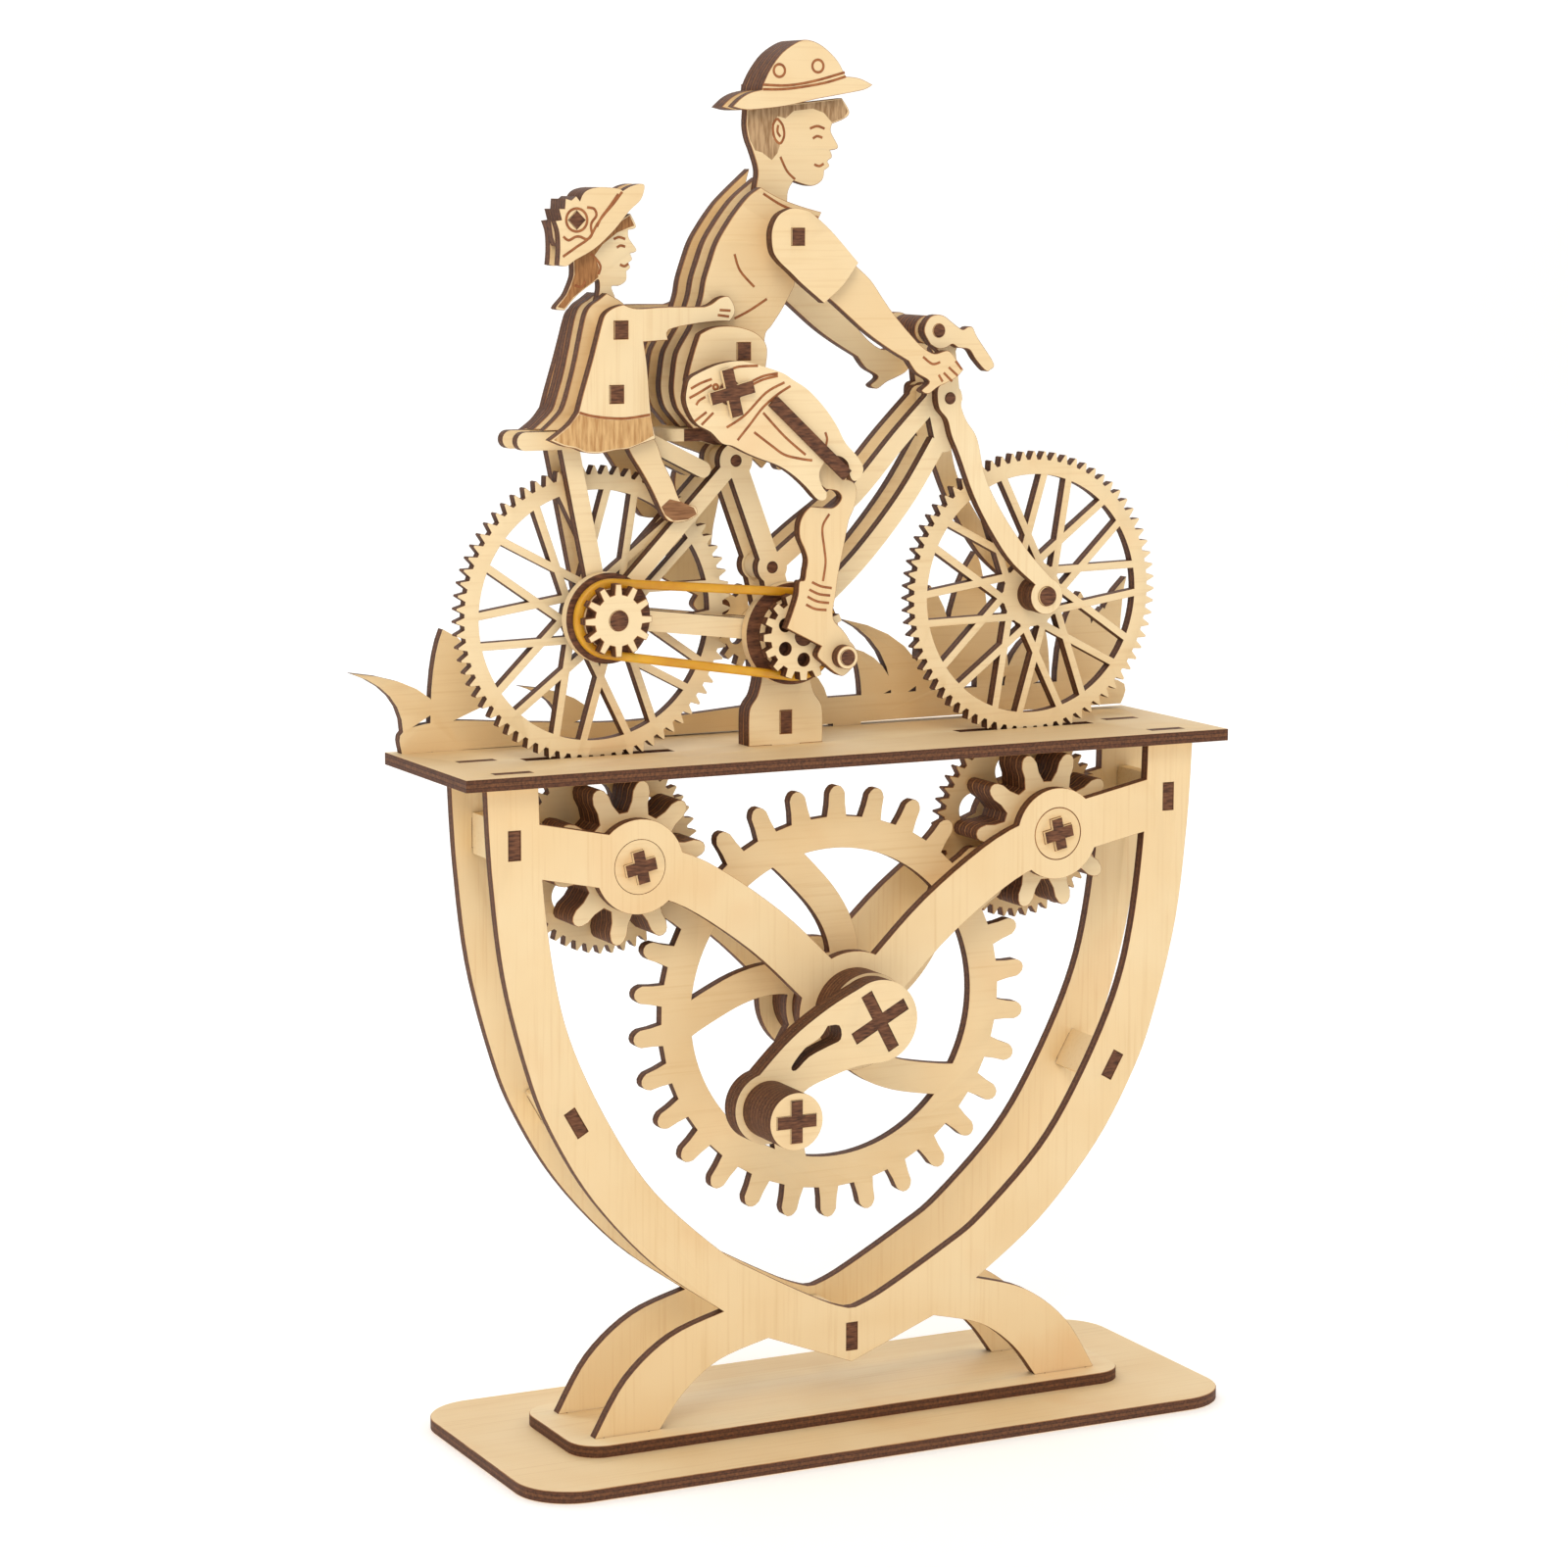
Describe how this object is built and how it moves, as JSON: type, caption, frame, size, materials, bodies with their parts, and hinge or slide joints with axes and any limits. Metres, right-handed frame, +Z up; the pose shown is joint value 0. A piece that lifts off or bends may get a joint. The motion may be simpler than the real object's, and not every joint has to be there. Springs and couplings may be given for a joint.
{
  "type": "wooden mechanical puzzle model",
  "caption": "Laser-cut plywood bicycle with rider and passenger on a deck, driven by a hand crank and gear train in a heart-shaped frame on a flat base.",
  "frame": {"origin": "centre of the underside of the base plate", "axes": "+X the way the bicycle faces, -Y the crank side, +Z up"},
  "size_m": [0.2197, 0.0827, 0.3429],
  "materials": {
    "basswood_plywood": "sanded, edges scorched by the laser",
    "flat_plywood": "sanded, edges scorched by the laser",
    "scorched_plywood": "cut edges, scorched",
    "amber_rubber_belt": "smooth amber rubber"
  },
  "bodies": {
    "root": {"base_plate_lower": "flat_plywood", "base_plate_upper": "flat_plywood", "frame_front": "basswood_plywood", "frame_back": "basswood_plywood", "frame_crossbars": "scorched_plywood", "deck": "flat_plywood", "grass_panel": "basswood_plywood", "stand_plates": "basswood_plywood", "stand_crossbar": "scorched_plywood", "drive_belt": "amber_rubber_belt", "bike_frame_near": "basswood_plywood", "bike_frame_far": "basswood_plywood", "bike_frame_spacers": "scorched_plywood", "forks": "basswood_plywood", "handlebar_plates": "basswood_plywood", "handlebar_roll": "scorched_plywood", "saddle": "scorched_plywood", "rider_torso_outer": "basswood_plywood", "rider_torso_middle": "basswood_plywood", "rider_pelvis": "basswood_plywood", "rider_head": "basswood_plywood", "rider_hat": "basswood_plywood", "rider_sleeves": "basswood_plywood", "rider_forearms": "basswood_plywood", "rider_pins": "scorched_plywood", "hip_axle": "scorched_plywood", "passenger_dress": "basswood_plywood", "passenger_body": "basswood_plywood", "passenger_head": "basswood_plywood", "passenger_hat": "basswood_plywood", "passenger_legs": "basswood_plywood", "passenger_pins": "scorched_plywood"},
    "crank": {"main_gear": "basswood_plywood", "main_axle": "scorched_plywood", "main_axle_discs": "scorched_plywood", "crank_plates": "basswood_plywood"},
    "grip": {"crank_grip": "scorched_plywood", "grip_pin": "scorched_plywood"},
    "left_drive": {"left_pinion": "basswood_plywood", "left_fine_gear": "basswood_plywood", "left_axle": "scorched_plywood"},
    "right_drive": {"right_pinion": "basswood_plywood", "right_fine_gear": "basswood_plywood", "right_axle": "scorched_plywood"},
    "rear_wheel_set": {"rear_wheel": "basswood_plywood", "rear_axle": "scorched_plywood", "rear_pulley": "basswood_plywood", "rear_sprocket": "basswood_plywood"},
    "front_wheel_set": {"front_wheel": "basswood_plywood", "front_axle": "scorched_plywood"},
    "pedal_set": {"chainring": "basswood_plywood", "front_pulley": "basswood_plywood", "pedal_axle": "scorched_plywood", "pedal_discs": "basswood_plywood"},
    "near_thigh": {"rider_thigh_near": "basswood_plywood"},
    "far_thigh": {"rider_thigh_far": "basswood_plywood"},
    "near_shin": {"rider_shin_near": "basswood_plywood"},
    "far_shin": {"rider_shin_far": "basswood_plywood"}
  },
  "joints": [
    {"name": "crank_turn", "type": "hinge", "parent": "root", "child": "crank", "pos_m": [0, 0, 0.106], "axis": [0, 1, 0], "continuous": true},
    {"name": "grip_spin", "type": "hinge", "parent": "crank", "child": "grip", "pos_m": [-0.03049, -0.0348, 0.08724], "axis": [0, 1, 0], "continuous": true},
    {"name": "left_drive_turn", "type": "hinge", "parent": "root", "child": "left_drive", "pos_m": [-0.0579, 0, 0.1464], "axis": [0, 1, 0], "continuous": true},
    {"name": "right_drive_turn", "type": "hinge", "parent": "root", "child": "right_drive", "pos_m": [0.0579, 0, 0.1464], "axis": [0, 1, 0], "continuous": true},
    {"name": "rear_wheel_turn", "type": "hinge", "parent": "root", "child": "rear_wheel_set", "pos_m": [-0.06075, 0.008, 0.20533], "axis": [0, 1, 0], "continuous": true},
    {"name": "front_wheel_turn", "type": "hinge", "parent": "root", "child": "front_wheel_set", "pos_m": [0.06075, 0.008, 0.20533], "axis": [0, 1, 0], "continuous": true},
    {"name": "pedal_turn", "type": "hinge", "parent": "root", "child": "pedal_set", "pos_m": [-0.0113, 0.008, 0.1993], "axis": [0, 1, 0], "continuous": true},
    {"name": "near_pedal_turn", "type": "hinge", "parent": "pedal_set", "child": "near_shin", "pos_m": [-0.00264, -0.0091, 0.1943], "axis": [0, 1, 0], "continuous": true},
    {"name": "far_pedal_turn", "type": "hinge", "parent": "pedal_set", "child": "far_shin", "pos_m": [-0.01996, 0.0251, 0.2043], "axis": [0, 1, 0], "continuous": true},
    {"name": "near_hip_swing", "type": "hinge", "parent": "root", "child": "near_thigh", "pos_m": [-0.0346, -0.0124, 0.2594], "axis": [0, 1, 0], "range_deg": [-8, 8]},
    {"name": "far_hip_swing", "type": "hinge", "parent": "root", "child": "far_thigh", "pos_m": [-0.0346, 0.0284, 0.2594], "axis": [0, 1, 0], "range_deg": [-8, 8]}
  ],
  "couplings": [
    {"joint": "left_drive_turn", "follows": "crank_turn", "ratio": -3},
    {"joint": "right_drive_turn", "follows": "crank_turn", "ratio": -3},
    {"joint": "rear_wheel_turn", "follows": "crank_turn", "ratio": 2},
    {"joint": "front_wheel_turn", "follows": "crank_turn", "ratio": 2},
    {"joint": "pedal_turn", "follows": "crank_turn", "ratio": 1.6667},
    {"joint": "near_pedal_turn", "follows": "crank_turn", "ratio": -1.6667},
    {"joint": "far_pedal_turn", "follows": "crank_turn", "ratio": -1.6667}
  ]
}
